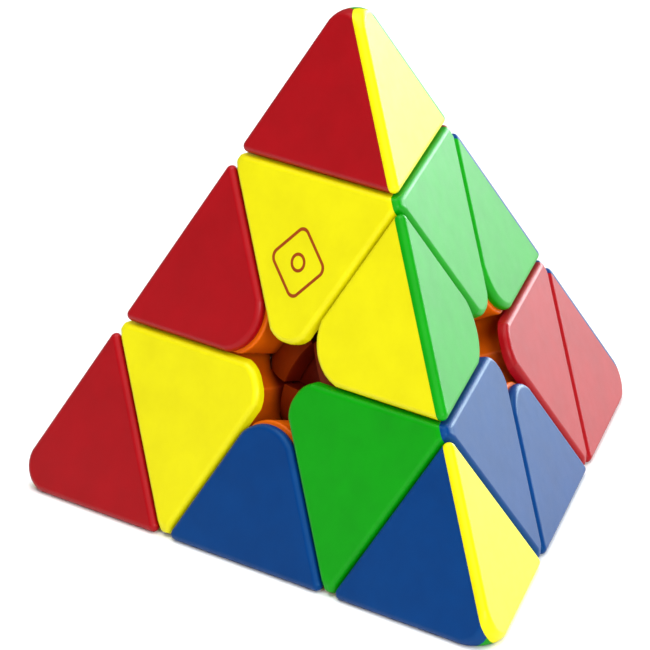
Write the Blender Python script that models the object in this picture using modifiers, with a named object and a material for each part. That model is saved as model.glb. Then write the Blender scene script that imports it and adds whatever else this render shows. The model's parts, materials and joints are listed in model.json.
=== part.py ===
"""Pyramid twisty puzzle: four tips, four axial centres and six edges on a ball core.

Metres, +Z up. The origin is the middle of the core, where the four turning axes meet.
+Z runs up the top axis and -Y points to the front corner.
"""
import itertools
import math

import bmesh
import bpy
import numpy as np
from mathutils import Matrix, Vector

for old in list(bpy.data.objects):
    bpy.data.objects.remove(old, do_unlink=True)

MM = 0.001

# Overall form
EDGE = 104.7 * MM            # side of the sharp tetrahedron, before its corners are rounded
HEIGHT = EDGE * math.sqrt(2 / 3)
FACE_OUT = HEIGHT / 4        # centre to each face
LAYER_CUT = HEIGHT / 12      # centre to the cut under each layer
TIP_CUT = 5 * HEIGHT / 12    # centre to the cut under each tip
GAP = 0.3 * MM               # clearance between neighbouring pieces

# Rounding
FILLET = 1.0 * MM            # along every outer edge
CORNER_R = 3.3 * MM          # outer corner of a tip, seen square to a face
AXIAL_R = 4.6 * MM           # corner of an axial centre at the middle of a face
EDGE_R = 7.6 * MM            # corner of an edge piece at the middle of a face
LEAN = math.asin(1 / 3)      # lean of every cut from square to the face it crosses
BALL_LEAN = math.asin(math.sqrt(1 / 3))  # lean of the ball that rounds off an outer corner
BLEND = math.radians(31)     # facets that meet more gently than this share their corners
FILLET_STEPS = 2             # facets across a fillet

# Caps
CAP = 1.6 * MM               # depth of a coloured cap

# Inside
BALL_R = 12.4 * MM           # core
BALL_CLEAR_R = 12.7 * MM     # hollow that the pieces leave round the core
FOOT_R = 15.5 * MM           # outside of the edge feet
FOOT_CLEAR_R = 15.8 * MM     # hollow in the axial centres for the feet
FOOT_ANGLE = math.radians(79.4)
CLEAR_ANGLE = math.radians(80.6)

# Screws, springs and pegs, measured along each axis from the centre
SHANK_R = 1.25 * MM
SHANK_END = 3.4 * MM
CORE_HOLE_R = 1.55 * MM
CORE_HOLE_END = 3.0 * MM
HEAD_R = 2.75 * MM
HEAD_FROM = 24.1 * MM
HEAD_TO = 26.2 * MM
RECESS_DEPTH = 1.2 * MM
RECESS_W = 0.8 * MM
SEAT_AT = 16.6 * MM          # spring seat inside the axial centre
SEAT_HOLE_R = 1.6 * MM
BORE_R = 3.7 * MM
LIP_AT = 32.5 * MM           # snap lip at the mouth of the bore
LIP_R = 3.05 * MM
NECK_R = 2.7 * MM
BULB_R = 3.35 * MM
BULB_FROM = 29.2 * MM
BULB_TO = 31.9 * MM
COIL_R = 2.2 * MM
WIRE_R = 0.32 * MM
COIL_TURNS = 5
COIL_FROM = 17.0 * MM
COIL_TO = 23.7 * MM
PER_TURN = 9                 # points on a turn of the coil

# Facets round a turned surface
ROUND_STEPS = 24
LAYER_STEPS = 36
PEG_STEPS = 20
SCREW_STEPS = 14
BALL_RINGS = 12              # from pole to pole
OFF_STEP = 0.37              # part of a step that keeps two cutters' facets from coinciding

# Axes to the four corners; each face is named by the corner opposite it
AXES = {
    "top": np.array((0, 0, 1)),
    "left": np.array((-math.sqrt(2 / 3), math.sqrt(2) / 3, -1 / 3)),
    "front": np.array((0, -2 * math.sqrt(2) / 3, -1 / 3)),
    "right": np.array((math.sqrt(2 / 3), math.sqrt(2) / 3, -1 / 3)),
}
FACES = {"west": "right", "east": "left", "north": "front", "base": "top"}

# The cap of this face carries the rounding of the edge between two corners
WRAPS = {
    ("top", "left"): "west",
    ("left", "front"): "west",
    ("top", "front"): "east",
    ("front", "right"): "east",
    ("top", "right"): "north",
    ("left", "right"): "north",
}

PLASTIC = {
    "red": (0.48, 0.002, 0.010),
    "yellow": (0.93, 0.83, 0.004),
    "green": (0.004, 0.38, 0.008),
    "blue": (0.002, 0.055, 0.28),
}

# Colours as scrambled
TIP_COLOURS = {
    "top": {"west": "red", "east": "yellow", "north": "green"},
    "left": {"west": "red", "north": "blue", "base": "yellow"},
    "front": {"west": "blue", "east": "yellow", "base": "green"},
    "right": {"east": "red", "base": "green", "north": "blue"},
}
AXIAL_COLOURS = {
    "top": {"west": "yellow", "east": "green", "north": "red"},
    "left": {"west": "yellow", "north": "red", "base": "blue"},
    "front": {"west": "green", "east": "blue", "base": "yellow"},
    "right": {"east": "red", "base": "green", "north": "blue"},
}
EDGE_COLOURS = {
    ("top", "left"): {"west": "red", "north": "green"},
    ("top", "front"): {"west": "yellow", "east": "green"},
    ("top", "right"): {"east": "green", "north": "blue"},
    ("left", "front"): {"west": "blue", "base": "red"},
    ("front", "right"): {"east": "blue", "base": "yellow"},
    ("left", "right"): {"north": "yellow", "base": "red"},
}

puzzle = bpy.data.collections.new("pyramid_twisty_puzzle")
bpy.context.scene.collection.children.link(puzzle)
cutters = bpy.data.collections.new("cutters")
bpy.context.scene.collection.children.link(cutters)
cutters.hide_render = True


# Materials

def principled(name, colour, roughness, metallic=0.0):
    made = bpy.data.materials.new(name)
    made.use_nodes = True
    shader = made.node_tree.nodes["Principled BSDF"]
    shader.inputs["Base Color"].default_value = (*colour, 1)
    shader.inputs["Roughness"].default_value = roughness
    shader.inputs["Metallic"].default_value = metallic
    made.diffuse_color = (*colour, 1)
    return made


CAP_MATERIAL = {name: principled(f"{name}_plastic", rgb, 0.42) for name, rgb in PLASTIC.items()}
BODY_MATERIAL = principled("orange_plastic", (0.62, 0.10, 0.004), 0.45)
STEEL = principled("steel", (0.55, 0.56, 0.58), 0.3, 1.0)
SPRING_STEEL = principled("spring_steel", (0.4, 0.41, 0.43), 0.35, 1.0)


# Objects

def add(name, data, material=None, matrix=None):
    """A piece of the puzzle."""
    made = bpy.data.objects.new(name, data)
    puzzle.objects.link(made)
    if matrix is not None:
        made.matrix_world = matrix
    if material is not None and not data.materials:
        data.materials.append(material)
    return made


def add_form(name, data, matrix=None):
    """A helper that shapes the pieces and isn't one itself."""
    if isinstance(data, bmesh.types.BMesh):
        source = data
        data = bpy.data.meshes.new(name)
        source.to_mesh(data)
        source.free()
    made = bpy.data.objects.new(name, data)
    cutters.objects.link(made)
    if matrix is not None:
        made.matrix_world = matrix
    made.hide_render = True
    made.display_type = "WIRE"
    return made


def combine(target, operation, other):
    step = target.modifiers.new(operation.lower(), "BOOLEAN")
    step.operation = operation
    step.solver = "EXACT"
    step.object = other


def baked(target, sharp=math.radians(35)):
    """Mesh of a form with its modifiers applied, shaded smooth up to its sharp edges."""
    graph = bpy.context.evaluated_depsgraph_get()
    graph.update()
    data = bpy.data.meshes.new_from_object(target.evaluated_get(graph))
    data.shade_smooth()
    data.set_sharp_from_angle(angle=sharp)
    return data


# Where the pieces sit: rotations that carry the tetrahedron onto itself

def rotation_to(images):
    """Rotation that carries each corner of the tetrahedron to its image."""
    total = Matrix(((0, 0, 0), (0, 0, 0), (0, 0, 0)))
    for corner, image in images.items():
        a, b = AXES[image], AXES[corner]
        total = total + Matrix([[a[i] * b[j] * 0.75 for j in range(3)] for i in range(3)])
    return total.to_4x4()


TURNS = {}
for order in itertools.permutations(AXES):
    candidate = rotation_to(dict(zip(AXES, order)))
    if candidate.determinant() > 0:
        TURNS[order[:2]] = candidate
AXIS_TURN = {corner: next(m for k, m in TURNS.items() if k[0] == corner) for corner in AXES}
AXIS_TURN["top"] = Matrix.Identity(4)


# Turned and ball-shaped forms

def turned(name, profile, steps, matrix=None, offset=0.0):
    """Solid of a (radius, height) profile turned about Z, from the top down its outer side."""
    data = bpy.data.meshes.new(name)
    links = [(k, k + 1) for k in range(len(profile) - 1)]
    data.from_pydata([(radius, 0, height) for radius, height in profile], links, [])
    way = Matrix.Identity(4) if matrix is None else matrix
    turn = Matrix.Rotation(offset * 2 * math.pi / steps, 4, "Z")
    made = add_form(name, data, way @ turn)
    lathe = made.modifiers.new("turn", "SCREW")
    lathe.axis = "Z"
    lathe.steps = steps
    lathe.render_steps = steps
    lathe.use_merge_vertices = True
    lathe.merge_threshold = 0.00001
    return made


def ball(name, radius):
    mesh = bmesh.new()
    bmesh.ops.create_uvsphere(mesh, u_segments=ROUND_STEPS, v_segments=BALL_RINGS, radius=radius)
    return add_form(name, mesh)


def sector(name, radius, half_angle, matrix):
    """Part of a ball within an angle of the axis, down to the ball's middle."""
    count = round(half_angle / math.radians(180 / BALL_RINGS))
    angles = [half_angle * k / count for k in range(count + 1)]
    profile = [(radius * math.sin(a), radius * math.cos(a)) for a in angles]
    return turned(name, profile + [(0, 0)], ROUND_STEPS, matrix, OFF_STEP)


def layer(name, clearance, matrix):
    """All that lies above a layer's cut: flat outside, and down a cone to the middle inside."""
    wide = 3 * FACE_OUT
    mouth = FACE_OUT * 2 * math.sqrt(2) / 3
    profile = [
        (0, 4 * FACE_OUT),
        (wide, 4 * FACE_OUT),
        (wide, LAYER_CUT + clearance),
        (mouth, LAYER_CUT + clearance),
        (0, clearance),
    ]
    return turned(name, profile, LAYER_STEPS, matrix, OFF_STEP)




# Convex forms with every edge rounded.
# Their facets are narrower than the fillet in places, where a Bevel would overlap itself,
# so the rounding is worked out here: a small ball rolled inside the planes.

ALIKE = 1e-9                 # corners closer than this are one


def unit(vector):
    return vector / np.linalg.norm(vector)


def fan(count):
    return [math.radians(60) * (2 * (i + 1) / (count + 1) - 1) for i in range(count)]


def corner_planes(face, corner_at, outward, radius, angles, lean):
    """Planes tangent to a rounded corner of the outline of a piece on a face."""
    across = np.cross(face, outward)
    centre = corner_at - outward * 2 * radius
    planes = []
    for angle in angles:
        aim = outward * math.cos(angle) + across * math.sin(angle)
        tilt = lean(abs(angle) / math.radians(60))
        normal = aim * math.cos(tilt) + face * math.sin(tilt)
        planes.append((normal, normal @ (centre + aim * radius)))
    return planes


def polyhedron(planes):
    """Corner points of the region inside every plane, and its faces as rings of corners."""
    normals = np.array([n for n, _ in planes])
    offsets = np.array([d for _, d in planes])
    triples = np.array(list(itertools.combinations(range(len(planes)), 3)))
    triples = triples[np.abs(np.linalg.det(normals[triples])) > 1e-6]
    points = np.linalg.solve(normals[triples], offsets[triples][..., None])[..., 0]
    points = points[(points @ normals.T <= offsets + ALIKE / 10).all(axis=1)]
    corners = np.empty((0, 3))
    for point in points:
        if not len(corners) or (np.abs(corners - point).max(axis=1) > ALIKE).all():
            corners = np.vstack([corners, point])
    faces = []
    for normal, offset in zip(normals, offsets):
        on = np.nonzero(np.abs(corners @ normal - offset) < ALIKE)[0]
        if len(on) > 2:
            faces.append((normal, ring_about(normal, corners, on)))
    return corners, faces


def ring_about(normal, corners, members):
    """The members in order round the normal, seen from outside."""
    middle = corners[members].mean(axis=0)
    side = unit(corners[members[0]] - middle)
    up = np.cross(normal, side)
    turn = np.arctan2((corners[members] - middle) @ up, (corners[members] - middle) @ side)
    return [int(i) for i in members[np.argsort(turn)]]


def angle_between(a, b):
    return math.acos(max(-1.0, min(1.0, float(a @ b))))


def slerp(a, b, t):
    angle = angle_between(a, b)
    if angle < 1e-6:
        return a
    return (a * math.sin((1 - t) * angle) + b * math.sin(t * angle)) / math.sin(angle)


def faces_round(corner, faces):
    """The faces that meet at a corner, in order round it."""
    around = [f for f, (_, ring) in enumerate(faces) if corner in ring]
    order = [around.pop()]
    while around:
        ring = faces[order[-1]][1]
        after = ring[(ring.index(corner) + 1) % len(ring)]
        following = next(f for f in around if after in faces[f][1])
        around.remove(following)
        order.append(following)
    return order


def gentle_groups(order, faces):
    """Runs of the faces round a corner that meet gently, in order."""
    groups = [[order[0]]]
    for f, g in zip(order, order[1:]):
        if angle_between(faces[f][0], faces[g][0]) < BLEND:
            groups[-1].append(g)
        else:
            groups.append([g])
    closing = angle_between(faces[order[-1]][0], faces[order[0]][0])
    if len(groups) > 1 and closing < BLEND:
        groups[0] = groups.pop() + groups[0]
    return groups


def rounded(planes, radius):
    """Mesh of the region inside the planes, each edge rounded to the radius."""
    corners, faces = polyhedron([(n, d - radius) for n, d in planes])
    mesh = bmesh.new()
    made = {}
    groups = {}
    aims = {}
    for c in range(len(corners)):
        groups[c] = gentle_groups(faces_round(c, faces), faces)
        for members in groups[c]:
            total = sum(faces[f][0] for f in members)
            for f in members:
                aims[c, f] = (min(members), unit(total))

    def arc(c, f, g):
        """Vertices of the rounding between two faces at a corner, from one to the other."""
        (first, a), (last, b) = aims[c, f], aims[c, g]
        if first > last:
            return arc(c, g, f)[::-1]
        verts = []
        for k in range(FILLET_STEPS + 1 if first != last else 1):
            key = (c, first, last, k)
            if k == 0:
                key = (c, first)
            elif k == FILLET_STEPS:
                key = (c, last)
            if key not in made:
                aim = slerp(a, b, k / FILLET_STEPS)
                made[key] = mesh.verts.new(corners[c] + radius * aim)
            verts.append(made[key])
        return verts

    def close(verts):
        verts = list(dict.fromkeys(verts))
        if len(verts) > 2:
            mesh.faces.new(verts)

    shared = {}
    for f, (_, ring) in enumerate(faces):
        close([arc(c, f, f)[0] for c in ring])
        for u, v in zip(ring, ring[1:] + ring[:1]):
            shared.setdefault((min(u, v), max(u, v)), []).append(f)
    for (u, v), (f, g) in shared.items():
        near, far = arc(u, f, g), arc(v, f, g)
        for k in range(max(len(near), len(far)) - 1):
            low, high = near[k:k + 2] or near[-1:], far[k:k + 2] or far[-1:]
            close(low + high[::-1])
    for c in range(len(corners)):
        runs = groups[c]
        if len(runs) < 3:
            continue
        outline = []
        for members, following in zip(runs, runs[1:] + runs[:1]):
            outline += arc(c, members[0], following[0])[:-1]
        if len(outline) < 5:
            close(outline)
            continue
        middle = sum(faces[f][0] for members in runs for f in members)
        hub = mesh.verts.new(corners[c] + radius * unit(middle))
        for a, b in zip(outline, outline[1:] + outline[:1]):
            close([hub, a, b])
    bmesh.ops.recalc_face_normals(mesh, faces=mesh.faces)
    return mesh


def keep_inside(mesh, normal, offset):
    """Cuts away whatever lies beyond a plane and closes the cut."""
    cut = bmesh.ops.bisect_plane(
        mesh,
        geom=mesh.verts[:] + mesh.edges[:] + mesh.faces[:],
        dist=1e-8,
        plane_co=Vector(normal * offset),
        plane_no=Vector(normal),
        clear_outer=True,
    )
    rim = [item for item in cut["geom_cut"] if isinstance(item, bmesh.types.BMEdge)]
    if rim:
        bmesh.ops.contextual_create(mesh, geom=rim)
        bmesh.ops.recalc_face_normals(mesh, faces=mesh.faces)


# Planes of each kind of piece

def above(corner, out):
    """Keeps the side of a cut that holds the corner."""
    return (-AXES[corner], -(out + GAP / 2))


def below(corner, out):
    return (AXES[corner], out - GAP / 2)


def face_normal(face):
    return -AXES[FACES[face]]


def middle_of(face):
    return face_normal(face) * FACE_OUT


def faces_of(*corners):
    """The faces that a piece with these corners shows."""
    return [face for face, opposite in FACES.items() if opposite not in corners]


def upright(_):
    return 0


def ball_lean(_):
    return BALL_LEAN


def ball_planes(corner):
    """Planes tangent to the ball that rounds off an outer corner, touching its filleted edges."""
    radius = CORNER_R * math.sqrt(3 / 2) + FILLET
    axis = AXES[corner]
    centre = axis * (3 * FACE_OUT - 3 * FILLET - CORNER_R * 3 / math.sqrt(2))
    planes = [(axis, axis @ centre + radius)]
    for face in faces_of(corner):
        normal = face_normal(face)
        outward = unit(axis * 3 * FACE_OUT - middle_of(face))
        for tangent, _ in corner_planes(normal, centre, outward, radius, fan(5), ball_lean):
            planes.append((tangent, tangent @ centre + radius))
    return planes


def tip_planes(corner):
    planes = [above(corner, TIP_CUT)]
    planes += ball_planes(corner)
    for face in faces_of(corner):
        normal = face_normal(face)
        planes.append((normal, FACE_OUT))
    return planes


def axial_outline(corner, lean):
    planes = [below(corner, TIP_CUT)]
    for face in faces_of(corner):
        normal = face_normal(face)
        planes.append((normal, FACE_OUT))
        middle = middle_of(face)
        outward = unit(middle - AXES[corner] * 3 * FACE_OUT)
        planes += corner_planes(normal, middle, outward, AXIAL_R, fan(5), lean)
    return planes


def axial_planes(corner):
    planes = axial_outline(corner, lambda t: LEAN * t)
    planes.append(above(corner, LAYER_CUT))
    planes += [below(other, LAYER_CUT) for other in AXES if other != corner]
    return planes


def edge_outline(pair, lean):
    planes = []
    halfway = (AXES[pair[0]] + AXES[pair[1]]) * 1.5 * FACE_OUT
    for face in faces_of(*pair):
        normal = face_normal(face)
        planes.append((normal, FACE_OUT))
        middle = middle_of(face)
        outward = unit(middle - halfway)
        planes += corner_planes(normal, middle, outward, EDGE_R, fan(5), lean)
    return planes


def edge_planes(pair):
    return edge_outline(pair, lambda t: -LEAN) + [above(corner, LAYER_CUT) for corner in pair]


# Caps and outer blocks

def wrapping_face(face, other):
    """The face whose cap carries the edge that two faces share."""
    pair = {corner for corner in AXES if corner not in (FACES[face], FACES[other])}
    return next(owner for ends, owner in WRAPS.items() if set(ends) == pair)


def cap_mesh(planes, face, faces):
    """Outer slice of a rounded piece, less what the neighbouring caps take of it."""
    mesh = rounded(planes, FILLET)
    keep_inside(mesh, -face_normal(face), -(FACE_OUT - CAP))
    for other in faces:
        if other != face and wrapping_face(face, other) == other:
            keep_inside(mesh, face_normal(other), FACE_OUT - CAP - GAP)
    data = bpy.data.meshes.new("cap")
    mesh.to_mesh(data)
    mesh.free()
    data.shade_smooth()
    data.set_sharp_from_angle(angle=math.radians(50))
    return data


def block_mesh(planes, faces, radius):
    """The part of a piece under its caps."""
    mesh = rounded(planes, radius)
    for face in faces:
        keep_inside(mesh, face_normal(face), FACE_OUT - CAP - GAP)
    return mesh


ball_hollow = ball("cut_ball", BALL_CLEAR_R)
clear_sector = {}
foot_sector = {}
layer_in = {}
layer_out = {}
for corner_name in AXES:
    way = AXIS_TURN[corner_name]
    clear_sector[corner_name] = sector(f"cut_foot_{corner_name}", FOOT_CLEAR_R, CLEAR_ANGLE, way)
    foot_sector[corner_name] = sector(f"form_foot_{corner_name}", FOOT_R, FOOT_ANGLE, way)
    layer_in[corner_name] = layer(f"form_layer_{corner_name}", GAP / 2, way)
    layer_out[corner_name] = layer(f"cut_layer_{corner_name}", -GAP / 2, way)

# Tip body with its snap peg
tip_block = add_form("form_tip", block_mesh(tip_planes("top"), faces_of("top"), FILLET))
peg_profile = [
    (0, TIP_CUT + 2 * MM),
    (NECK_R, TIP_CUT + 2 * MM),
    (NECK_R, BULB_TO),
    (BULB_R, BULB_TO - 0.5 * MM),
    (BULB_R, BULB_FROM + 1.1 * MM),
    (BULB_R - 0.7 * MM, BULB_FROM),
    (0, BULB_FROM),
]
combine(tip_block, "UNION", turned("form_peg", peg_profile, PEG_STEPS))

# Axial body: room for the feet, the core and the screw
axial_form = block_mesh(axial_outline("top", upright), faces_of("top"), GAP)
axial_block = add_form("form_axial", axial_form)
combine(axial_block, "INTERSECT", layer_in["top"])
for corner_name in ("left", "front", "right"):
    combine(axial_block, "DIFFERENCE", layer_out[corner_name])
for corner_name in ("left", "front", "right"):
    combine(axial_block, "DIFFERENCE", clear_sector[corner_name])
combine(axial_block, "DIFFERENCE", ball_hollow)
bore_profile = [
    (0, TIP_CUT + 0.4 * MM),
    (LIP_R + 0.7 * MM, TIP_CUT + 0.4 * MM),
    (LIP_R, TIP_CUT - 0.8 * MM),
    (LIP_R, LIP_AT + 0.5 * MM),
    (BORE_R, LIP_AT),
    (BORE_R, SEAT_AT),
    (SEAT_HOLE_R, SEAT_AT),
    (SEAT_HOLE_R, BALL_R - 3 * MM),
    (0, BALL_R - 3 * MM),
]
combine(axial_block, "DIFFERENCE", turned("cut_bore", bore_profile, PEG_STEPS))

# Edge body: the outer block and the foot that the axial centres hold down
edge_pair = ("top", "left")
edge_form = block_mesh(edge_outline(edge_pair, upright), faces_of(*edge_pair), GAP)
edge_block = add_form("form_edge", edge_form)
for corner_name in edge_pair:
    combine(edge_block, "INTERSECT", layer_in[corner_name])
foot = sector("form_foot", FOOT_R, FOOT_ANGLE, AXIS_TURN["top"])
combine(foot, "INTERSECT", foot_sector["left"])
combine(foot, "DIFFERENCE", clear_sector["front"])
combine(foot, "DIFFERENCE", clear_sector["right"])
combine(edge_block, "UNION", foot)
combine(edge_block, "DIFFERENCE", ball_hollow)

# Core with four screw holes
core_block = ball("form_core", BALL_R)
hole_profile = [
    (0, BALL_R + 1 * MM),
    (CORE_HOLE_R, BALL_R + 1 * MM),
    (CORE_HOLE_R, CORE_HOLE_END + 0.8 * MM),
    (0, CORE_HOLE_END),
]
for corner_name in AXES:
    way = AXIS_TURN[corner_name]
    hole = turned(f"cut_hole_{corner_name}", hole_profile, SCREW_STEPS, way)
    combine(core_block, "DIFFERENCE", hole)

# Screw with a cross recess in its pan head
screw_profile = [
    (0, HEAD_TO),
    (HEAD_R - 0.9 * MM, HEAD_TO),
    (HEAD_R, HEAD_TO - 0.8 * MM),
    (HEAD_R, HEAD_FROM),
    (SHANK_R, HEAD_FROM),
    (SHANK_R, SHANK_END + 1.4 * MM),
    (SHANK_R * 0.55, SHANK_END),
    (0, SHANK_END),
]
screw_block = turned("form_screw", screw_profile, SCREW_STEPS)
arm = HEAD_R - 1.0 * MM
half = RECESS_W / 2
tip = half * 0.8
quarter = [(arm, -tip), (arm, tip), (half, half)]
cross_curve = bpy.data.curves.new("recess", "CURVE")
cross_curve.dimensions = "2D"
cross_curve.fill_mode = "BOTH"
cross_curve.extrude = RECESS_DEPTH
cross = cross_curve.splines.new("POLY")
cross.points.add(4 * len(quarter) - 1)
cross.use_cyclic_u = True
for k, point in enumerate(cross.points):
    x, y = quarter[k % len(quarter)]
    for _ in range(k // len(quarter)):
        x, y = -y, x
    point.co = (x, y, 0, 1)
recess_curve = add_form("recess_curve", cross_curve, Matrix.Translation((0, 0, HEAD_TO)))
bpy.context.view_layer.update()
recess = add_form("cut_recess", baked(recess_curve), recess_curve.matrix_world)
bpy.data.objects.remove(recess_curve)
welded = bmesh.new()
welded.from_mesh(recess.data)
bmesh.ops.remove_doubles(welded, verts=welded.verts, dist=1e-6)
bmesh.ops.recalc_face_normals(welded, faces=welded.faces)
welded.to_mesh(recess.data)
welded.free()
combine(screw_block, "DIFFERENCE", recess)

# Spring wire
spring_curve = bpy.data.curves.new("spring", "CURVE")
spring_curve.dimensions = "3D"
spring_curve.bevel_depth = WIRE_R
spring_curve.bevel_resolution = 0
spring_curve.use_fill_caps = True
wire = spring_curve.splines.new("POLY")
coil_points = COIL_TURNS * PER_TURN
wire.points.add(coil_points)
for k, point in enumerate(wire.points):
    angle = 2 * math.pi * k / PER_TURN
    height = COIL_FROM + (COIL_TO - COIL_FROM) * k / coil_points
    point.co = (COIL_R * math.cos(angle), COIL_R * math.sin(angle), height, 1)
spring_form = add_form("form_spring", spring_curve)

bpy.context.view_layer.update()
TIP_BODY = baked(tip_block)
AXIAL_BODY = baked(axial_block)
EDGE_BODY = baked(edge_block)
CORE_BODY = baked(core_block)
SCREW_BODY = baked(screw_block)
SPRING_BODY = baked(spring_form)

# The assembly
add("core_ball", CORE_BODY, BODY_MATERIAL)
for corner_name in AXES:
    way = AXIS_TURN[corner_name]
    add(f"screw_{corner_name}", SCREW_BODY, STEEL, way)
    add(f"spring_{corner_name}", SPRING_BODY, SPRING_STEEL, way)
    add(f"axial_{corner_name}_body", AXIAL_BODY, BODY_MATERIAL, way)
    add(f"tip_{corner_name}_body", TIP_BODY, BODY_MATERIAL, way)
    for kind, planes_of, worn in (
        ("axial", axial_planes, AXIAL_COLOURS[corner_name]),
        ("tip", tip_planes, TIP_COLOURS[corner_name]),
    ):
        for face_name, colour_name in worn.items():
            mesh = cap_mesh(planes_of(corner_name), face_name, list(worn))
            add(f"{kind}_{corner_name}_cap_{face_name}", mesh, CAP_MATERIAL[colour_name])
for pair, worn in EDGE_COLOURS.items():
    label = "edge_" + "_".join(pair)
    add(f"{label}_body", EDGE_BODY, BODY_MATERIAL, TURNS[pair])
    for face_name, colour_name in worn.items():
        mesh = cap_mesh(edge_planes(pair), face_name, list(worn))
        add(f"{label}_cap_{face_name}", mesh, CAP_MATERIAL[colour_name])
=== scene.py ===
"""Looks of the pyramid twisty puzzle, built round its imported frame.

Every cap and body is made again here with finer rounding, in the frame's own place.
"""

import itertools
import json
import math

import bmesh
import bpy
import numpy as np
from mathutils import Matrix, Vector

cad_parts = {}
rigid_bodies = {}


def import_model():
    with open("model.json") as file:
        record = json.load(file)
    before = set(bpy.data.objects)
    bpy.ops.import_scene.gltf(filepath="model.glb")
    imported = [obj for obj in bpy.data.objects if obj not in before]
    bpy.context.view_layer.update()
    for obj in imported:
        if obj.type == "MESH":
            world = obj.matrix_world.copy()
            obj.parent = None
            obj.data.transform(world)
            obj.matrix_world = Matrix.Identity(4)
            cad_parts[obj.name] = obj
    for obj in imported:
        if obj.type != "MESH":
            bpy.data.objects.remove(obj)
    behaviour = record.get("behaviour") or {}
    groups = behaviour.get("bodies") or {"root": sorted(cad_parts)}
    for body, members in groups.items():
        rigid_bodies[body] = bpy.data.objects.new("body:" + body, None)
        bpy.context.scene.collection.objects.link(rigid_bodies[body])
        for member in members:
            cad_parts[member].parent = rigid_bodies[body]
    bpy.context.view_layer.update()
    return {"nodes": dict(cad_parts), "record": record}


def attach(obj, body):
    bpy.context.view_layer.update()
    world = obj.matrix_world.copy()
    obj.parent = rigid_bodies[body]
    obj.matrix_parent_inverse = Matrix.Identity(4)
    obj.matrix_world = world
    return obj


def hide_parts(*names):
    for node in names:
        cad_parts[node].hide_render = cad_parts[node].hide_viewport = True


for old in list(bpy.data.objects):
    bpy.data.objects.remove(old, do_unlink=True)

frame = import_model()

MM = 0.001
RECORD = frame["record"]
MOUNTS = {mount["name"]: mount for mount in RECORD["mounts"]}

# Sizes that follow the frame
FACE_OUT = -MOUNTS["base_face"]["pos_m"][2]
HEIGHT = 4 * FACE_OUT
EDGE = HEIGHT * math.sqrt(3 / 2)
APEX_OUT = 3 * FACE_OUT      # from the middle to a corner, before rounding
LAYER_CUT = HEIGHT / 12
TIP_CUT = 5 * HEIGHT / 12
GAP = 0.3 * MM

# Rounding
FILLET = 1.0 * MM            # along every outer edge of a cap
CORNER_R = 3.3 * MM          # outer corner of a tip
AXIAL_R = 4.6 * MM           # axial centre at the middle of a face
EDGE_R = 7.6 * MM            # edge piece at the middle of a face
SMALL_R = 1.5 * MM           # the other corners of tips and edge pieces
AXIAL_SMALL_R = 0.9 * MM
LEAN = math.asin(1 / 3)      # lean of every cut from square to the face it crosses
BALL_LEAN = math.asin(math.sqrt(1 / 3))  # lean of the ball that rounds off an outer corner
BLEND = math.radians(21)     # facets that meet more gently than this share their corners
CAP_STEPS = 6                # facets across a fillet of a cap
BLOCK_STEPS = 3              # and across the rim of a body

# Facets round each kind of corner
TIP_FAN = 9
AXIAL_FAN = 9
EDGE_FAN = 11
SMALL_FAN = 7
FAN_REACH = math.radians(60)  # half the turn of a triangle's outline at a corner

# Caps stand on the bodies, whose walls show a little beyond them
CAP = 1.6 * MM
SEAM = 0.03 * MM
PROUD = 0.16 * MM
SHOULDER = 0.35 * MM

# Inside
BALL_R = 12.4 * MM
BALL_CLEAR_R = 12.7 * MM
FOOT_R = 15.5 * MM
FOOT_CLEAR_R = 15.8 * MM
FOOT_ANGLE = math.radians(79.4)
CLEAR_ANGLE = math.radians(80.6)
ROUND_STEPS = 96
ARC_STEP = math.radians(4)   # between rings of a ball-shaped form
OFF_STEP = 0.37              # turn, in steps, that keeps facets of two forms from coinciding

AXES = {
    "top": np.array((0, 0, 1)),
    "left": np.array((-math.sqrt(2 / 3), math.sqrt(2) / 3, -1 / 3)),
    "front": np.array((0, -2 * math.sqrt(2) / 3, -1 / 3)),
    "right": np.array((math.sqrt(2 / 3), math.sqrt(2) / 3, -1 / 3)),
}
FACES = {"west": "right", "east": "left", "north": "front", "base": "top"}
WRAPS = {
    ("top", "left"): "west",
    ("left", "front"): "west",
    ("top", "front"): "east",
    ("front", "right"): "east",
    ("top", "right"): "north",
    ("left", "right"): "north",
}
EDGES = list(WRAPS)

NODE_BODY = {}
for body_name, members in RECORD["behaviour"]["bodies"].items():
    for member in members:
        NODE_BODY[member] = body_name
NODE_SLOT = {part["node"]: part["material_slot"] for part in RECORD["subparts"]}


# Convex forms with every edge rounded: a small ball rolled inside the planes

ALIKE = 1e-9                 # corners closer than this are one


def unit(vector):
    return vector / np.linalg.norm(vector)


def fan(count):
    return [FAN_REACH * (2 * (i + 1) / (count + 1) - 1) for i in range(count)]


def corner_planes(face, corner_at, outward, radius, angles, lean):
    """Planes tangent to a rounded corner of the outline of a piece on a face."""
    across = np.cross(face, outward)
    centre = corner_at - outward * 2 * radius
    planes = []
    for angle in angles:
        aim = outward * math.cos(angle) + across * math.sin(angle)
        tilt = lean(abs(angle) / FAN_REACH)
        normal = aim * math.cos(tilt) + face * math.sin(tilt)
        planes.append((normal, normal @ (centre + aim * radius)))
    return planes


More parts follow.
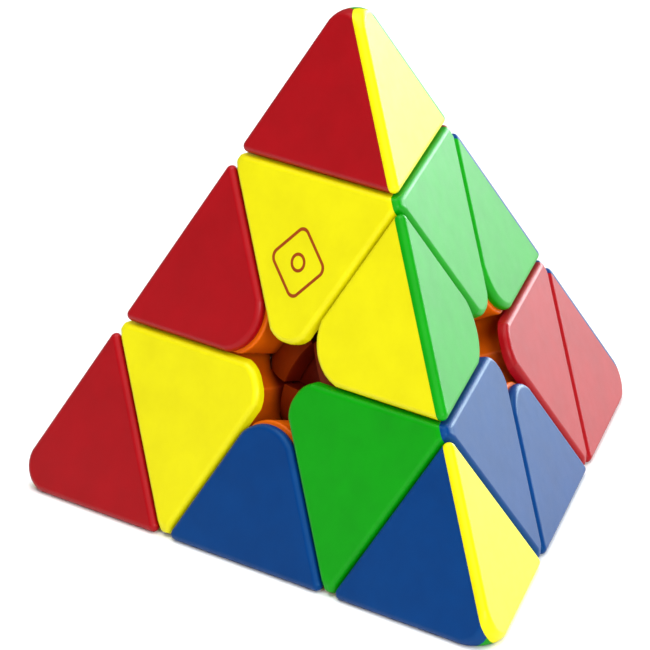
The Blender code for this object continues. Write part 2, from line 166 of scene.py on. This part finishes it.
def polyhedron(planes):
    """Corner points of the region inside every plane, and its faces as rings of corners."""
    normals = np.array([n for n, _ in planes])
    offsets = np.array([d for _, d in planes])
    triples = np.array(list(itertools.combinations(range(len(planes)), 3)))
    triples = triples[np.abs(np.linalg.det(normals[triples])) > 1e-6]
    points = np.linalg.solve(normals[triples], offsets[triples][..., None])[..., 0]
    points = points[(points @ normals.T <= offsets + ALIKE / 10).all(axis=1)]
    corners = np.empty((0, 3))
    for point in points:
        if not len(corners) or (np.abs(corners - point).max(axis=1) > ALIKE).all():
            corners = np.vstack([corners, point])
    faces = []
    for normal, offset in zip(normals, offsets):
        on = np.nonzero(np.abs(corners @ normal - offset) < ALIKE)[0]
        if len(on) > 2:
            faces.append((normal, ring_about(normal, corners, on)))
    return corners, faces


def ring_about(normal, corners, members):
    """The members in order round the normal, seen from outside."""
    middle = corners[members].mean(axis=0)
    side = unit(corners[members[0]] - middle)
    up = np.cross(normal, side)
    turn = np.arctan2((corners[members] - middle) @ up, (corners[members] - middle) @ side)
    return [int(i) for i in members[np.argsort(turn)]]


def angle_between(a, b):
    return math.acos(max(-1.0, min(1.0, float(a @ b))))


def slerp(a, b, t):
    angle = angle_between(a, b)
    if angle < 1e-6:
        return a
    return (a * math.sin((1 - t) * angle) + b * math.sin(t * angle)) / math.sin(angle)


def faces_round(corner, faces):
    """The faces that meet at a corner, in order round it."""
    around = [f for f, (_, ring) in enumerate(faces) if corner in ring]
    order = [around.pop()]
    while around:
        ring = faces[order[-1]][1]
        after = ring[(ring.index(corner) + 1) % len(ring)]
        following = next(f for f in around if after in faces[f][1])
        around.remove(following)
        order.append(following)
    return order


def gentle_groups(order, faces):
    """Runs of the faces round a corner that meet gently, in order."""
    groups = [[order[0]]]
    for f, g in zip(order, order[1:]):
        if angle_between(faces[f][0], faces[g][0]) < BLEND:
            groups[-1].append(g)
        else:
            groups.append([g])
    closing = angle_between(faces[order[-1]][0], faces[order[0]][0])
    if len(groups) > 1 and closing < BLEND:
        groups[0] = groups.pop() + groups[0]
    return groups


def rounded(planes, radius, steps):
    """Mesh of the region inside the planes, each edge rounded to the radius."""
    corners, faces = polyhedron([(n, d - radius) for n, d in planes])
    mesh = bmesh.new()
    made = {}
    groups = {}
    aims = {}
    for c in range(len(corners)):
        groups[c] = gentle_groups(faces_round(c, faces), faces)
        for members in groups[c]:
            total = sum(faces[f][0] for f in members)
            for f in members:
                aims[c, f] = (min(members), unit(total))

    def arc(c, f, g):
        """Vertices of the rounding between two faces at a corner, from one to the other."""
        (first, a), (last, b) = aims[c, f], aims[c, g]
        if first > last:
            return arc(c, g, f)[::-1]
        verts = []
        for k in range(steps + 1 if first != last else 1):
            key = (c, first, last, k)
            if k in (0, steps):
                key = (c, last if k else first)
            if key not in made:
                aim = slerp(a, b, k / steps)
                made[key] = mesh.verts.new(corners[c] + radius * aim)
            verts.append(made[key])
        return verts

    def close(verts):
        verts = list(dict.fromkeys(verts))
        if len(verts) > 2:
            mesh.faces.new(verts)

    shared = {}
    for f, (_, ring) in enumerate(faces):
        close([arc(c, f, f)[0] for c in ring])
        for u, v in zip(ring, ring[1:] + ring[:1]):
            shared.setdefault((min(u, v), max(u, v)), []).append(f)
    for (u, v), (f, g) in shared.items():
        near, far = arc(u, f, g), arc(v, f, g)
        for k in range(max(len(near), len(far)) - 1):
            low, high = near[k:k + 2] or near[-1:], far[k:k + 2] or far[-1:]
            close(low + high[::-1])
    for c in range(len(corners)):
        runs = groups[c]
        if len(runs) < 3:
            continue
        outline = []
        for members, following in zip(runs, runs[1:] + runs[:1]):
            outline += arc(c, members[0], following[0])[:-1]
        middle = unit(sum(faces[members[0]][0] for members in runs))
        ring = outline
        for k in range(1, steps):
            inner = []
            for v in outline:
                aim = np.array((v.co - Vector(corners[c])).normalized())
                inner.append(mesh.verts.new(corners[c] + radius * slerp(aim, middle, k / steps)))
            for i in range(len(ring)):
                n = (i + 1) % len(ring)
                close([ring[i], ring[n], inner[n], inner[i]])
            ring = inner
        hub = mesh.verts.new(corners[c] + radius * middle)
        for a, b in zip(ring, ring[1:] + ring[:1]):
            close([hub, a, b])
    bmesh.ops.recalc_face_normals(mesh, faces=mesh.faces)
    return mesh


def keep_inside(mesh, normal, offset):
    """Cuts away whatever lies beyond a plane and closes the cut."""
    cut = bmesh.ops.bisect_plane(
        mesh,
        geom=mesh.verts[:] + mesh.edges[:] + mesh.faces[:],
        dist=1e-8,
        plane_co=Vector(normal * offset),
        plane_no=Vector(normal),
        clear_outer=True,
    )
    rim = [item for item in cut["geom_cut"] if isinstance(item, bmesh.types.BMEdge)]
    if rim:
        bmesh.ops.contextual_create(mesh, geom=rim)
        bmesh.ops.recalc_face_normals(mesh, faces=mesh.faces)


def above(corner, out):
    """Keeps the side of a cut that holds the corner."""
    return (-AXES[corner], -(out + GAP / 2))


def below(corner, out):
    return (AXES[corner], out - GAP / 2)


def face_normal(face):
    return -AXES[FACES[face]]


def middle_of(face):
    return face_normal(face) * FACE_OUT


def faces_of(*corners):
    """The faces that a piece with these corners shows."""
    return [face for face, opposite in FACES.items() if opposite not in corners]


def on_edge(corner, other, part):
    """Point a part of the way from one corner of the tetrahedron to another."""
    return (AXES[corner] * (1 - part) + AXES[other] * part) * APEX_OUT


def upright(_):
    return 0


def ball_lean(_):
    return BALL_LEAN


def cut_lean(_):
    return -LEAN


def apex_lean(t):
    return LEAN * t


def small_corners(normal, ends, towards, radius, lean):
    """Rounding of the two outer corners of a piece's outline on a face."""
    centroid = (towards + ends[0] + ends[1]) / 3
    planes = []
    for end in ends:
        aim = unit(end - centroid)
        planes += corner_planes(normal, end, aim, radius, fan(SMALL_FAN), lean)
    return planes


def ball_planes(corner):
    """Planes tangent to the ball that rounds off an outer corner, touching its filleted edges."""
    radius = CORNER_R * math.sqrt(3 / 2) + FILLET
    axis = AXES[corner]
    centre = axis * (APEX_OUT - 3 * FILLET - CORNER_R * 3 / math.sqrt(2))
    planes = [(axis, axis @ centre + radius)]
    for face in faces_of(corner):
        normal = face_normal(face)
        outward = unit(axis * APEX_OUT - middle_of(face))
        tangents = corner_planes(normal, centre, outward, radius, fan(TIP_FAN), ball_lean)
        for tangent, _ in tangents:
            planes.append((tangent, tangent @ centre + radius))
    return planes


def tip_planes(corner):
    planes = [above(corner, TIP_CUT)]
    apex = AXES[corner] * APEX_OUT
    planes += ball_planes(corner)
    for face in faces_of(corner):
        normal = face_normal(face)
        planes.append((normal, FACE_OUT))
        others = [other for other in AXES if other not in (corner, FACES[face])]
        ends = [on_edge(corner, other, 1 / 3) for other in others]
        planes += small_corners(normal, ends, apex, SMALL_R, cut_lean)
    return planes


def axial_outline(corner, lean, wider=0.0):
    planes = [below(corner, TIP_CUT)]
    for face in faces_of(corner):
        normal = face_normal(face)
        planes.append((normal, FACE_OUT))
        middle = middle_of(face)
        outward = unit(middle - AXES[corner] * APEX_OUT)
        tangents = corner_planes(normal, middle, outward, AXIAL_R, fan(AXIAL_FAN), lean)
        planes += [(n, d + wider) for n, d in tangents]
    return planes


def axial_planes(corner):
    planes = axial_outline(corner, apex_lean)
    planes.append(above(corner, LAYER_CUT))
    planes += [below(other, LAYER_CUT) for other in AXES if other != corner]
    for face in faces_of(corner):
        others = [other for other in AXES if other not in (corner, FACES[face])]
        ends = [on_edge(corner, other, 1 / 3) for other in others]
        normal = face_normal(face)
        planes += small_corners(normal, ends, middle_of(face), AXIAL_SMALL_R, apex_lean)
    return planes


def edge_outline(pair, lean, wider=0.0):
    planes = []
    halfway = on_edge(pair[0], pair[1], 1 / 2)
    for face in faces_of(*pair):
        normal = face_normal(face)
        planes.append((normal, FACE_OUT))
        middle = middle_of(face)
        outward = unit(middle - halfway)
        tangents = corner_planes(normal, middle, outward, EDGE_R, fan(EDGE_FAN), lean)
        planes += [(n, d + wider) for n, d in tangents]
    return planes


def edge_planes(pair):
    planes = edge_outline(pair, cut_lean) + [above(corner, LAYER_CUT) for corner in pair]
    ends = [on_edge(pair[0], pair[1], 1 / 3), on_edge(pair[0], pair[1], 2 / 3)]
    for face in faces_of(*pair):
        planes += small_corners(face_normal(face), ends, middle_of(face), SMALL_R, cut_lean)
    return planes


def wrapping_face(face, other):
    """The face whose cap carries the edge that two faces share."""
    pair = {corner for corner in AXES if corner not in (FACES[face], FACES[other])}
    return next(owner for ends, owner in WRAPS.items() if set(ends) == pair)


def cap_mesh(planes, face, faces):
    mesh = rounded(planes, FILLET, CAP_STEPS)
    keep_inside(mesh, -face_normal(face), -(FACE_OUT - CAP))
    for other in faces:
        if other != face and wrapping_face(face, other) == other:
            keep_inside(mesh, face_normal(other), FACE_OUT - CAP - SEAM)
    return mesh


def block_mesh(planes, faces, radius):
    """The part of a piece under its caps, its rim rounded."""
    under = [(face_normal(face), FACE_OUT - CAP - SEAM) for face in faces]
    kept = [(n, d) for n, d in planes if not any(np.allclose(n, m) for m, _ in under)]
    return rounded(kept + under, radius, BLOCK_STEPS)


# Turned and ball-shaped forms

def turned(name, profile, matrix):
    """Solid of a (radius, height) profile turned about Z, from the top down its outer side."""
    data = bpy.data.meshes.new(name)
    links = [(k, k + 1) for k in range(len(profile) - 1)]
    data.from_pydata([(radius, 0, height) for radius, height in profile], links, [])
    made = make(name, data)
    made.matrix_world = matrix @ Matrix.Rotation(OFF_STEP * 2 * math.pi / ROUND_STEPS, 4, "Z")
    lathe = made.modifiers.new("turn", "SCREW")
    lathe.axis = "Z"
    lathe.steps = ROUND_STEPS
    lathe.render_steps = ROUND_STEPS
    lathe.use_merge_vertices = True
    lathe.merge_threshold = 0.00001
    return made


def ball(name, radius):
    mesh = bmesh.new()
    rings = ROUND_STEPS // 2
    bmesh.ops.create_uvsphere(mesh, u_segments=ROUND_STEPS, v_segments=rings, radius=radius)
    return make(name, mesh)


def sector(name, radius, half_angle, matrix):
    """Part of a ball within an angle of the axis, down to the ball's middle."""
    count = round(half_angle / ARC_STEP)
    angles = [half_angle * k / count for k in range(count + 1)]
    profile = [(radius * math.sin(a), radius * math.cos(a)) for a in angles]
    return turned(name, profile + [(0, 0)], matrix)


def layer(name, clearance, matrix):
    """All that lies above a layer's cut: flat outside, and down a cone to the middle inside."""
    wide = APEX_OUT
    mouth = FACE_OUT * 2 * math.sqrt(2) / 3
    profile = [
        (0, 4 * FACE_OUT),
        (wide, 4 * FACE_OUT),
        (wide, LAYER_CUT + clearance),
        (mouth, LAYER_CUT + clearance),
        (0, clearance),
    ]
    return turned(name, profile, matrix)


def rotation_to(images):
    """Rotation that carries each corner of the tetrahedron to its image."""
    total = Matrix(((0, 0, 0), (0, 0, 0), (0, 0, 0)))
    for corner, image in images.items():
        a, b = AXES[image], AXES[corner]
        total = total + Matrix([[a[i] * b[j] * 0.75 for j in range(3)] for i in range(3)])
    return total.to_4x4()


TURNS = {}
for order in itertools.permutations(AXES):
    candidate = rotation_to(dict(zip(AXES, order)))
    if candidate.determinant() > 0:
        TURNS[order[:2]] = candidate
AXIS_TURN = {corner: next(m for k, m in TURNS.items() if k[0] == corner) for corner in AXES}
AXIS_TURN["top"] = Matrix.Identity(4)


# Objects

SHARP_FROM = math.radians(32)


def smooth(data):
    data.shade_smooth()
    data.set_sharp_from_angle(angle=SHARP_FROM)


def make(name, mesh):
    data = mesh
    if isinstance(mesh, bmesh.types.BMesh):
        data = bpy.data.meshes.new(name)
        mesh.to_mesh(data)
        mesh.free()
    made = bpy.data.objects.new(name, data)
    bpy.context.scene.collection.objects.link(made)
    return made


def even_normals(made):
    step = made.modifiers.new("even_normals", "WEIGHTED_NORMAL")
    step.mode = "FACE_AREA"
    step.weight = 100
    step.keep_sharp = True


def stand_in(node, mesh, material, matrix=None):
    """A finer piece in the place of a frame node, riding on the same body."""
    if matrix is not None:
        mesh = mesh.copy()
        mesh.transform(matrix)
    made = make("moulded_" + node, mesh)
    if not made.data.materials:
        made.data.materials.append(material)
    even_normals(made)
    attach(made, NODE_BODY[node])
    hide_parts(node)
    return made


def combine(target, operation, other):
    step = target.modifiers.new(operation.lower(), "BOOLEAN")
    step.operation = operation
    step.solver = "EXACT"
    step.object = other


def baked(target):
    graph = bpy.context.evaluated_depsgraph_get()
    graph.update()
    return bpy.data.meshes.new_from_object(target.evaluated_get(graph))


# Materials

# Noises, in waves a metre, with where they act and how deep
MOTTLE_SCALE = 140
MOTTLE_FROM = 0.35
MOTTLE_TO = 0.75
GLOSS_SCALE = 420
UNEVEN = 0.05
GRAIN_SCALE = 5200
SINK_SCALE = 90
SINK_STRENGTH = 0.25
SINK_DEPTH = 0.12 * MM
MARKS_SCALE = 2600
MARKS_STRENGTH = 0.4
MARKS_DEPTH = 0.01 * MM

# Painted shade: the bodies' colour deepens between these distances from the middle, for the shade
# deep in the openings
PAINTED_SHADE_FROM = FOOT_R - 0.6 * MM
PAINTED_SHADE_TO = FOOT_R + 1.6 * MM


def linear(red, green, blue):
    """Scene-linear colour from display values of 0 to 255."""
    def channel(value):
        value /= 255
        return value / 12.92 if value <= 0.04045 else ((value + 0.055) / 1.055) ** 2.4
    return (channel(red), channel(green), channel(blue), 1)


def noise(nodes, links, place, scale, detail):
    made = nodes.new("ShaderNodeTexNoise")
    made.inputs["Scale"].default_value = scale
    made.inputs["Detail"].default_value = detail
    links.new(place.outputs["Object"], made.inputs["Vector"])
    return made


def bump(nodes, links, height, strength, distance, shader):
    """Bump driven by a noise, ending in the shader's normal or in another bump's."""
    made = nodes.new("ShaderNodeBump")
    made.inputs["Strength"].default_value = strength
    made.inputs["Distance"].default_value = distance
    links.new(height.outputs["Fac"], made.inputs["Height"])
    links.new(made.outputs["Normal"], shader.inputs["Normal"])
    return made


def uneven_gloss(nodes, links, source, low, high, shader):
    level = nodes.new("ShaderNodeMapRange")
    level.inputs["To Min"].default_value = low
    level.inputs["To Max"].default_value = high
    links.new(source.outputs["Fac"], level.inputs["Value"])
    links.new(level.outputs["Result"], shader.inputs["Roughness"])


def blended(nodes, links, factor, first, second):
    """Mix of two colours, each a fixed colour or a socket."""
    made = nodes.new("ShaderNodeMix")
    made.data_type = "RGBA"
    links.new(factor.outputs["Result"], made.inputs["Factor"])
    for name, colour in (("A", first), ("B", second)):
        if isinstance(colour, tuple):
            made.inputs[name].default_value = colour
        else:
            links.new(colour, made.inputs[name])
    return made.outputs["Result"]


def plastic(name, colour, deep, roughness=0.4, grain=0.012, sheen=(1, 1, 1, 1), painted_shade=None):
    """Moulded plastic: faint mottling, uneven gloss and the fine grain of the mould.

    Towards the core a second colour takes over as painted shade, so that the openings turn dark
    inside.
    """
    made = bpy.data.materials.new(name)
    made.use_nodes = True
    nodes, links = made.node_tree.nodes, made.node_tree.links
    shader = nodes["Principled BSDF"]
    shader.inputs["IOR"].default_value = 1.5
    shader.inputs["Specular IOR Level"].default_value = 0.2
    shader.inputs["Specular Tint"].default_value = sheen
    place = nodes.new("ShaderNodeTexCoord")

    mottle = noise(nodes, links, place, MOTTLE_SCALE, 4)
    mottle.inputs["Roughness"].default_value = 0.6
    spread = nodes.new("ShaderNodeMapRange")
    spread.inputs["From Min"].default_value = MOTTLE_FROM
    spread.inputs["From Max"].default_value = MOTTLE_TO
    links.new(mottle.outputs["Fac"], spread.inputs["Value"])
    painted = blended(nodes, links, spread, colour, deep)
    # Painted shade: the colour darkens with nearness to the middle, standing in for the shade deep
    # inside the openings
    if painted_shade:
        reach = nodes.new("ShaderNodeVectorMath")
        reach.operation = "LENGTH"
        links.new(place.outputs["Object"], reach.inputs[0])
        depth = nodes.new("ShaderNodeMapRange")
        depth.interpolation_type = "SMOOTHSTEP"
        depth.inputs["From Min"].default_value = PAINTED_SHADE_FROM
        depth.inputs["From Max"].default_value = PAINTED_SHADE_TO
        links.new(reach.outputs["Value"], depth.inputs["Value"])
        painted = blended(nodes, links, depth, painted_shade, painted)
    links.new(painted, shader.inputs["Base Color"])

    gloss = noise(nodes, links, place, GLOSS_SCALE, 3)
    uneven_gloss(nodes, links, gloss, roughness - UNEVEN, roughness + UNEVEN, shader)
    fine = noise(nodes, links, place, GRAIN_SCALE, 2)
    moulded = bump(nodes, links, fine, 1.0, grain * MM, shader)
    wavy = noise(nodes, links, place, SINK_SCALE, 1)
    bump(nodes, links, wavy, SINK_STRENGTH, SINK_DEPTH, moulded)
    return made


def metal(name, colour, roughness):
    """Plated steel with fine drawing marks."""
    made = bpy.data.materials.new(name)
    made.use_nodes = True
    nodes, links = made.node_tree.nodes, made.node_tree.links
    shader = nodes["Principled BSDF"]
    shader.inputs["Base Color"].default_value = colour
    shader.inputs["Metallic"].default_value = 1.0
    place = nodes.new("ShaderNodeTexCoord")
    marks = noise(nodes, links, place, MARKS_SCALE, 3)
    uneven_gloss(nodes, links, marks, roughness - 0.08, roughness + 0.12, shader)
    bump(nodes, links, marks, MARKS_STRENGTH, MARKS_DEPTH, shader)
    return made


BLUE_SHEEN = (0.45, 1, 1, 1)
CAP_LOOK = {
    "red_plastic": plastic("red_look", linear(156, 0, 12), linear(145, 0, 9)),
    "yellow_plastic": plastic("yellow_look", linear(219, 211, 0), linear(211, 202, 0)),
    "green_plastic": plastic("green_look", linear(0, 146, 2), linear(0, 136, 2)),
    "blue_plastic": plastic("blue_look", linear(0, 54, 117), linear(0, 48, 108), sheen=BLUE_SHEEN),
}
ORANGE = linear(222, 100, 0)
ORANGE_DEEP = linear(208, 88, 0)
# Painted shade colour for the insides of the openings near the core
ORANGE_PAINTED_SHADE = linear(104, 18, 1)
BODY_LOOK = plastic("orange_look", ORANGE, ORANGE_DEEP, 0.45, painted_shade=ORANGE_PAINTED_SHADE)
INK_LOOK = plastic("ink_look", linear(150, 60, 0), linear(138, 52, 0), 0.5, 0.003)
STEEL_LOOK = metal("steel_look", linear(190, 192, 196), 0.3)
WIRE_LOOK = metal("wire_look", linear(165, 167, 172), 0.36)


# Caps and bodies

forms = []
ball_hollow = ball("form_ball", BALL_CLEAR_R)
clear_sector = {}
foot_sector = {}
layer_in = {}
layer_out = {}
for corner_name in AXES:
    way = AXIS_TURN[corner_name]
    clear_sector[corner_name] = sector("form_clear", FOOT_CLEAR_R, CLEAR_ANGLE, way)
    foot_sector[corner_name] = sector("form_foot", FOOT_R, FOOT_ANGLE, way)
    layer_in[corner_name] = layer("form_layer", GAP / 2, way)
    layer_out[corner_name] = layer("form_other_layer", -GAP / 2, way)
    forms += [clear_sector[corner_name], foot_sector[corner_name]]
    forms += [layer_in[corner_name], layer_out[corner_name]]

tip_block = make("form_tip", block_mesh(tip_planes("top"), faces_of("top"), SHOULDER))
axial_form = block_mesh(axial_outline("top", upright, PROUD), faces_of("top"), SHOULDER)
axial_block = make("form_axial", axial_form)
combine(axial_block, "INTERSECT", layer_in["top"])
for corner_name in ("left", "front", "right"):
    combine(axial_block, "DIFFERENCE", layer_out[corner_name])
for corner_name in ("left", "front", "right"):
    combine(axial_block, "DIFFERENCE", clear_sector[corner_name])
combine(axial_block, "DIFFERENCE", ball_hollow)

edge_pair = ("top", "left")
edge_form = block_mesh(edge_outline(edge_pair, upright, PROUD), faces_of(*edge_pair), SHOULDER)
edge_block = make("form_edge", edge_form)
for corner_name in edge_pair:
    combine(edge_block, "INTERSECT", layer_in[corner_name])
foot = sector("form_foot", FOOT_R, FOOT_ANGLE, AXIS_TURN["top"])
combine(foot, "INTERSECT", foot_sector["left"])
combine(foot, "DIFFERENCE", clear_sector["front"])
combine(foot, "DIFFERENCE", clear_sector["right"])
combine(edge_block, "UNION", foot)
combine(edge_block, "DIFFERENCE", ball_hollow)
core_form = ball("form_core", BALL_R)
forms += [ball_hollow, tip_block, axial_block, edge_block, foot, core_form]

bpy.context.view_layer.update()
TIP_BODY = baked(tip_block)
AXIAL_BODY = baked(axial_block)
EDGE_BODY = baked(edge_block)
CORE_BODY = baked(core_form)
for form in forms:
    bpy.data.objects.remove(form)
for data in (TIP_BODY, AXIAL_BODY, EDGE_BODY, CORE_BODY):
    smooth(data)

stand_in("core_ball", CORE_BODY, BODY_LOOK)


def add_caps(label, planes, faces):
    for face in faces:
        node = f"{label}_cap_{face}"
        mesh = cap_mesh(planes, face, faces)
        made = stand_in(node, mesh, CAP_LOOK[NODE_SLOT[node]])
        smooth(made.data)


for corner_name in AXES:
    way = AXIS_TURN[corner_name]
    shown = faces_of(corner_name)
    stand_in(f"tip_{corner_name}_body", TIP_BODY, BODY_LOOK, way)
    stand_in(f"axial_{corner_name}_body", AXIAL_BODY, BODY_LOOK, way)
    add_caps(f"tip_{corner_name}", tip_planes(corner_name), shown)
    add_caps(f"axial_{corner_name}", axial_planes(corner_name), shown)
    for kind, look in (("screw", STEEL_LOOK), ("spring", WIRE_LOOK)):
        node = frame["nodes"][f"{kind}_{corner_name}"]
        node.data.materials.clear()
        node.data.materials.append(look)
for pair in EDGES:
    label = "edge_" + "_".join(pair)
    stand_in(f"{label}_body", EDGE_BODY, BODY_LOOK, TURNS[pair])
    add_caps(label, edge_planes(pair), faces_of(*pair))


# Printed mark on the upper axial cap: a rounded diamond with a small ring, of no maker

MARK_FROM_MIDDLE = 17.0 * MM
MARK_REACH = 6.0 * MM
MARK_LINE = 0.5 * MM
MARK_DEPTH = 0.012 * MM
MARK_INNER = MARK_REACH - MARK_LINE * 1.4
MARK_OUTER_R = 1.5 * MM
MARK_INNER_R = 1.1 * MM
RING_R = 1.5 * MM


def band(outer, inner, depth):
    """Flat closed band between two outlines of equal count, standing proud of z = 0."""
    mesh = bmesh.new()
    rows = []
    for outline, height in ((outer, 0), (outer, depth), (inner, depth), (inner, 0)):
        rows.append([mesh.verts.new((x, y, height)) for x, y in outline])
    for row, after in zip(rows, rows[1:] + rows[:1]):
        for k in range(len(row)):
            n = (k + 1) % len(row)
            mesh.faces.new([row[k], row[n], after[n], after[k]])
    bmesh.ops.recalc_face_normals(mesh, faces=mesh.faces)
    return mesh


def diamond(reach, corner, count=96):
    """Outline of a square standing on its corner, its corners rounded."""
    points = []
    side = reach - corner * math.sqrt(2)
    for k in range(count):
        quarter = k * 4 // count
        part = (k * 4 / count) - quarter
        angle = math.radians(90 * quarter - 45 + 90 * part)
        hub = math.radians(90 * quarter)
        points.append((
            side * math.cos(hub) + corner * math.cos(angle),
            side * math.sin(hub) + corner * math.sin(angle),
        ))
    return points


def circle(radius, count=64):
    turn = 2 * math.pi / count
    return [(radius * math.cos(k * turn), radius * math.sin(k * turn)) for k in range(count)]


west = face_normal("west")
upward = unit(AXES["top"] * APEX_OUT - middle_of("west"))
sideways = np.cross(upward, west)
spot = middle_of("west") + upward * MARK_FROM_MIDDLE
placing = Matrix((sideways, upward, west)).transposed().to_4x4()
placing.translation = spot
for name, outer, inner in (
    ("mark_diamond", diamond(MARK_REACH, MARK_OUTER_R), diamond(MARK_INNER, MARK_INNER_R)),
    ("mark_ring", circle(RING_R), circle(RING_R - MARK_LINE)),
):
    printed = make(name, band(outer, inner, MARK_DEPTH))
    printed.matrix_world = placing
    printed.data.materials.append(INK_LOOK)
    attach(printed, "top_layer")


# Studio

floor_mesh = bmesh.new()
bmesh.ops.create_grid(floor_mesh, x_segments=8, y_segments=8, size=3)
floor = make("floor", floor_mesh)
floor.location = (0, 0, -FACE_OUT - 0.05 * MM)
paper = bpy.data.materials.new("paper")
paper.use_nodes = True
paper_shader = paper.node_tree.nodes["Principled BSDF"]
paper_shader.inputs["Base Color"].default_value = (0.9, 0.9, 0.9, 1)
paper_shader.inputs["Roughness"].default_value = 0.75
paper_shader.inputs["Specular IOR Level"].default_value = 0.2
floor.data.materials.append(paper)


def softbox(name, at, towards, width, height, power, colour=(1, 1, 1)):
    data = bpy.data.lights.new(name, "AREA")
    data.shape = "RECTANGLE"
    data.size = width
    data.size_y = height
    data.energy = power
    data.color = colour
    made = bpy.data.objects.new(name, data)
    bpy.context.scene.collection.objects.link(made)
    made.location = at
    aim = Vector(towards) - Vector(at)
    made.rotation_euler = aim.to_track_quat("-Z", "Y").to_euler()


COOL = (0.86, 0.96, 1)
softbox("overhead", (0.0, 0.0, 0.9), (0, 0, 0), 1.0, 1.0, 10.5)
softbox("front_left", (-0.55, -0.75, 0.5), (0, 0, 0), 0.5, 0.5, 2)
softbox("front", (0.1, -1.0, 0.4), (0, 0, 0), 0.4, 0.4, 7.5)
softbox("right_back", (0.9, 0.58, 0.16), (0.03, 0, 0), 0.9, 0.34, 15, COOL)

# The world lights the shadows evenly and shows the camera a white backdrop
world = bpy.data.worlds.new("studio")
world.use_nodes = True
sky_nodes, sky_links = world.node_tree.nodes, world.node_tree.links
backdrop = sky_nodes["Background"]
backdrop.inputs["Color"].default_value = (1, 1, 1, 1)
fill = sky_nodes.new("ShaderNodeBackground")
fill.inputs["Color"].default_value = (1, 1, 1, 1)
fill.inputs["Strength"].default_value = 0.24
seen = sky_nodes.new("ShaderNodeLightPath")
either = sky_nodes.new("ShaderNodeMixShader")
sky_links.new(seen.outputs["Is Camera Ray"], either.inputs[0])
sky_links.new(fill.outputs["Background"], either.inputs[1])
sky_links.new(backdrop.outputs["Background"], either.inputs[2])
sky_links.new(either.outputs["Shader"], sky_nodes["World Output"].inputs["Surface"])
bpy.context.scene.world = world

scene = bpy.context.scene
scene.view_settings.view_transform = "Standard"
scene.view_settings.look = "None"

# Camera: a long lens, a little to the left of the front edge and above
CAMERA_AZIMUTH = math.radians(-14.91)
CAMERA_ELEVATION = math.radians(21.88)
CAMERA_ROLL = math.radians(-2.97)
CAMERA_DISTANCE = 7.5 * EDGE
CAMERA_TARGET = Vector((-0.0545, 0.0445, 0.0721)) * EDGE
CAMERA_LENS = 284.1

back = Vector((
    math.sin(CAMERA_AZIMUTH) * math.cos(CAMERA_ELEVATION),
    -math.cos(CAMERA_AZIMUTH) * math.cos(CAMERA_ELEVATION),
    math.sin(CAMERA_ELEVATION),
))
level_x = Vector((0, 0, 1)).cross(back).normalized()
level_y = back.cross(level_x)
roll_x = level_x * math.cos(CAMERA_ROLL) + level_y * math.sin(CAMERA_ROLL)
roll_y = level_y * math.cos(CAMERA_ROLL) - level_x * math.sin(CAMERA_ROLL)
camera_data = bpy.data.cameras.new("camera")
camera_data.lens = CAMERA_LENS
camera_data.sensor_width = 36
camera_data.clip_start = 0.01
camera = bpy.data.objects.new("camera", camera_data)
scene.collection.objects.link(camera)
pose = Matrix((roll_x, roll_y, back)).transposed().to_4x4()
pose.translation = CAMERA_TARGET + back * CAMERA_DISTANCE
camera.matrix_world = pose
scene.camera = camera

bpy.context.view_layer.update()
